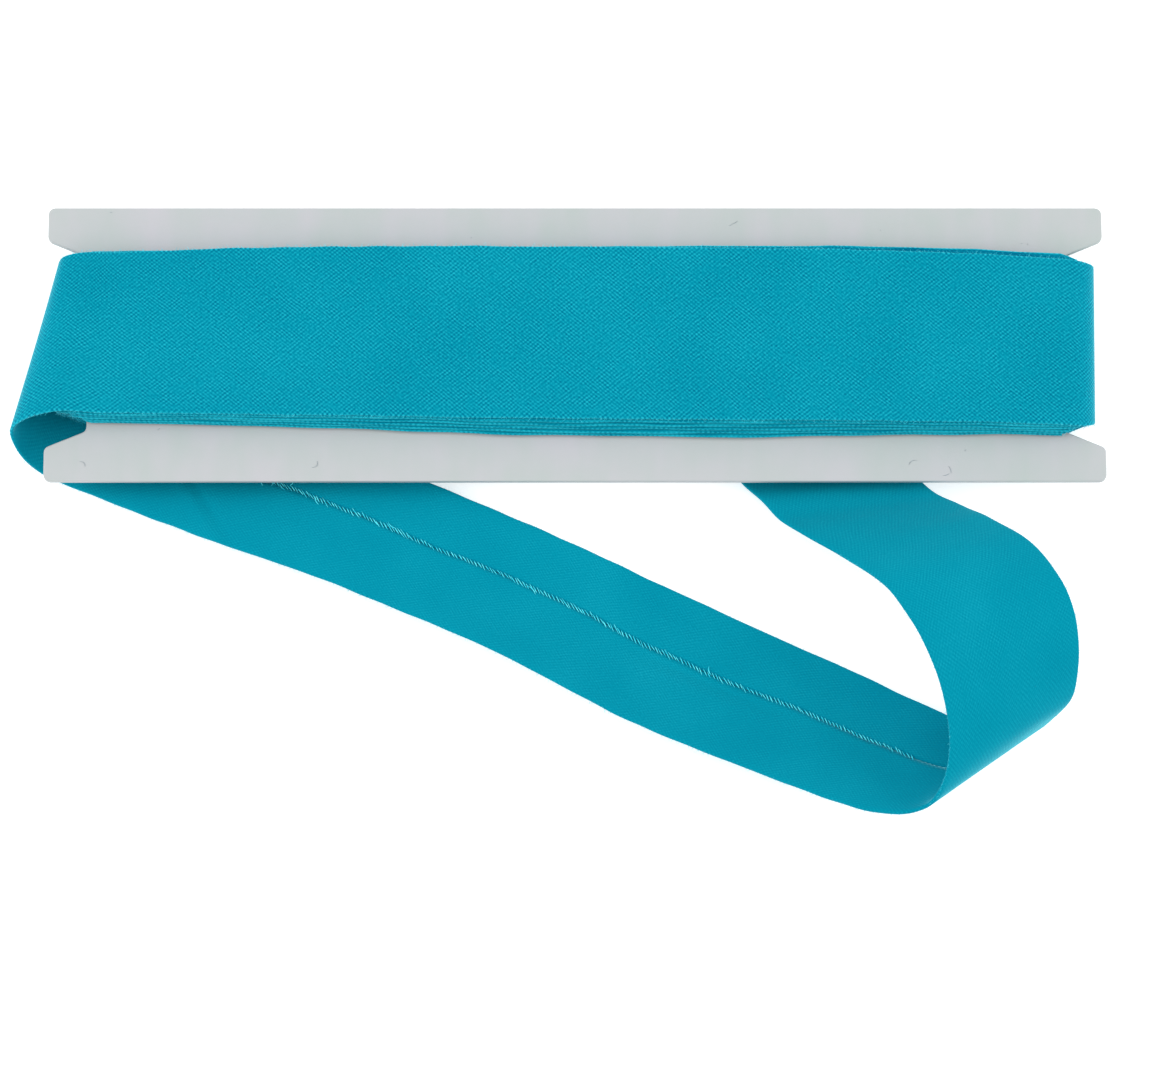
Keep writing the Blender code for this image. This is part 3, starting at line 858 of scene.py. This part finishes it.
def card_material():
    """Frosted polypropylene, injection moulded: cloudy, faintly streaked by its flow, satin."""
    material, tree, shader = new_material("frosted polypropylene")
    place = add(tree, "TexCoord").outputs["Object"]
    clouds = add(tree, "TexNoise", {"Vector": place, "Scale": 1 / (CARD_CLOUD * MM), "Detail": 3.0})
    stretch = tuple(1 / (length * MM) for length in CARD_FLOW)
    stretched = add(tree, "VectorMath", {0: place, 1: stretch}, operation="MULTIPLY")
    flow = add(tree, "TexNoise", {"Vector": stretched, "Scale": 1.0})
    mottle = add(tree, "Math", {0: clouds, 1: flow}, operation="ADD")
    tone = add(tree, "MapRange", {
        "Value": mottle, "From Min": 2 * SOFT_NOISE[0], "From Max": 2 * SOFT_NOISE[1],
    })
    colour = add(tree, "ValToRGB", {0: tone})
    colour.color_ramp.elements[0].color = linear("#AEB8B5")
    colour.color_ramp.elements[1].color = linear("#BBBABF")
    tree.links.new(colour.outputs[0], shader.inputs["Base Color"])
    grain = add(tree, "TexNoise", {"Vector": place, "Scale": 1 / (CARD_GRAIN * MM), "Detail": 2.0})
    bump = add(tree, "Bump", {"Strength": 0.25, "Distance": CARD_RELIEF * MM, "Height": grain})
    tree.links.new(bump.outputs[0], shader.inputs["Normal"])
    shader.inputs["Roughness"].default_value = 0.5
    shader.inputs["IOR"].default_value = 1.49
    shader.inputs["Specular IOR Level"].default_value = 0.35
    return material


def floor_material():
    """Matt white paper, lit faintly from behind, which keeps its shadows thin."""
    material, tree, shader = new_material("white paper")
    shader.inputs["Base Color"].default_value = linear("#E8E8E8")
    shader.inputs["Emission Color"].default_value = linear("#FFFFFF")
    shader.inputs["Emission Strength"].default_value = FLOOR_GLOW
    shader.inputs["Roughness"].default_value = 0.9
    shader.inputs["Specular IOR Level"].default_value = 0.1
    return material


def build_floor():
    """A plain pale floor, wide enough for every view."""
    mesh = bpy.data.meshes.new("floor")
    corners = [(x * FLOOR_HALF, y * FLOOR_HALF, 0.0) for x, y in ((-1, -1), (1, -1), (1, 1), (-1, 1))]
    mesh.from_pydata(corners, [], [(0, 1, 2, 3)])
    mesh.materials.append(floor_material())
    floor = bpy.data.objects.new("floor", mesh)
    bpy.context.scene.collection.objects.link(floor)


def soft_light(name, direction, distance, size, share):
    """A square soft box, sized in metres, that adds the given share of white to the floor."""
    away = Vector(direction).normalized()
    data = bpy.data.lights.new(name, "AREA")
    data.shape = "SQUARE"
    data.size = size
    data.energy = share * math.pi**2 * distance**2 / max(away.z, 0.2)
    light = bpy.data.objects.new(name, data)
    light.location = away * distance
    light.rotation_mode = "QUATERNION"
    light.rotation_quaternion = away.to_track_quat("Z", "Y")
    bpy.context.scene.collection.objects.link(light)


def light_scene():
    """Even white surroundings with a soft box to each side and one overhead."""
    world = bpy.data.worlds.new("studio")
    world.use_nodes = True
    background = world.node_tree.nodes["Background"]
    background.inputs["Color"].default_value = (1.0, 1.0, 1.0, 1.0)
    background.inputs["Strength"].default_value = SURROUNDINGS
    bpy.context.scene.world = world
    soft_light("left", (-1.0, 0.05, 0.5), 1.1, 0.8, 0.21)
    soft_light("right", (1.0, 0.05, 0.5), 1.1, 0.8, 0.19)
    soft_light("overhead", (0.0, 0.05, 1.0), 1.2, 0.9, 0.24)
    bpy.context.scene.view_settings.view_transform = "Standard"


def place_camera():
    """The photo's viewpoint: nearly straight down, over the middle of the part."""
    data = bpy.data.cameras.new("camera")
    data.lens = data.sensor_width / 2 / math.tan(math.radians(CAMERA_HALF_ANGLE))
    camera = bpy.data.objects.new("camera", data)
    elevation = math.radians(CAMERA_ELEVATION)
    back = Vector((0.0, -math.cos(elevation), math.sin(elevation)))
    target = Vector(in_frame(CAMERA_TARGET))
    camera.location = target + back * CAMERA_DISTANCE * MM
    camera.rotation_mode = "QUATERNION"
    camera.rotation_quaternion = back.to_track_quat("Z", "Y")
    data.clip_start = 0.01
    data.clip_end = 20.0
    bpy.context.scene.collection.objects.link(camera)
    bpy.context.scene.camera = camera


def end_places(rows):
    """Where the wound tape's lower fold passes round either end of the card."""
    along = distance_along(rows)
    beyond = (rows[:, 0] < TURNS_LEFT) | (rows[:, 0] > TURNS_RIGHT)
    starts = np.flatnonzero(beyond[1:] & ~beyond[:-1]) + 1
    ends = np.flatnonzero(beyond[:-1] & ~beyond[1:])
    return [(along[start], along[end], 0.0) for start, end in zip(starts, ends)]


def dress_card():
    """The card is the frame's own solid, in its real plastic, with a little lint on it."""
    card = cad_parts["winding_card"]
    card.data.materials.clear()
    card.data.materials.append(card_material())
    lint = card_lint(yarn_material("grey lint", "#8C979D", "#A8B2B7"))
    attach(lint, "root")


def build_binding():
    """The wound turns and the loose one, as one tape cut where it leaves the back of the roll."""
    wound = wound_rows()
    # The wound turns get a stronger painted highlight on their folds, and painted shade inside the upper
    # fold
    cloth = binding_material(
        "wound cotton binding", weave=0.3, rub_and_highlight=0.8, shades=(0.0, 0.26), streaked=0.24
    )
    wound_tape = fold_tape("wound_turns", wound, WOUND_COLUMNS, cloth)
    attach(wound_tape, "root")
    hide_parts("wound_binding")
    # The fuzz's colours are painted paler than the cloth, a painted highlight for fibres standing in the
    # light
    fuzz_cotton = yarn_material("cotton fuzz", "#1EBCD4", "#5AE6F5")
    end_fuzz = down("end_fuzz", wound, end_places(wound), END_SPACING, fuzz_cotton)
    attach(end_fuzz, "root")
    loose = loose_rows()
    cloth = binding_material("loose cotton binding", slack_from=SLACK_FROM)
    loose_tape = fold_tape("loose_turn", loose, LOOSE_COLUMNS, cloth)
    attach(loose_tape, "root")
    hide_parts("loose_tape")
    # The seam's thread ends are painted paler than the cloth, a painted highlight
    thread_ends = seam_threads(loose, yarn_material("frayed cotton thread", "#22CBE2", "#62F4FF"))
    fuzz = down("fold_fuzz", loose, FUZZ_PLACES, FOLD_SPACING, fuzz_cotton)
    for piece in (thread_ends, fuzz):
        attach(piece, "root")


place_camera()
light_scene()
build_floor()
dress_card()
build_binding()
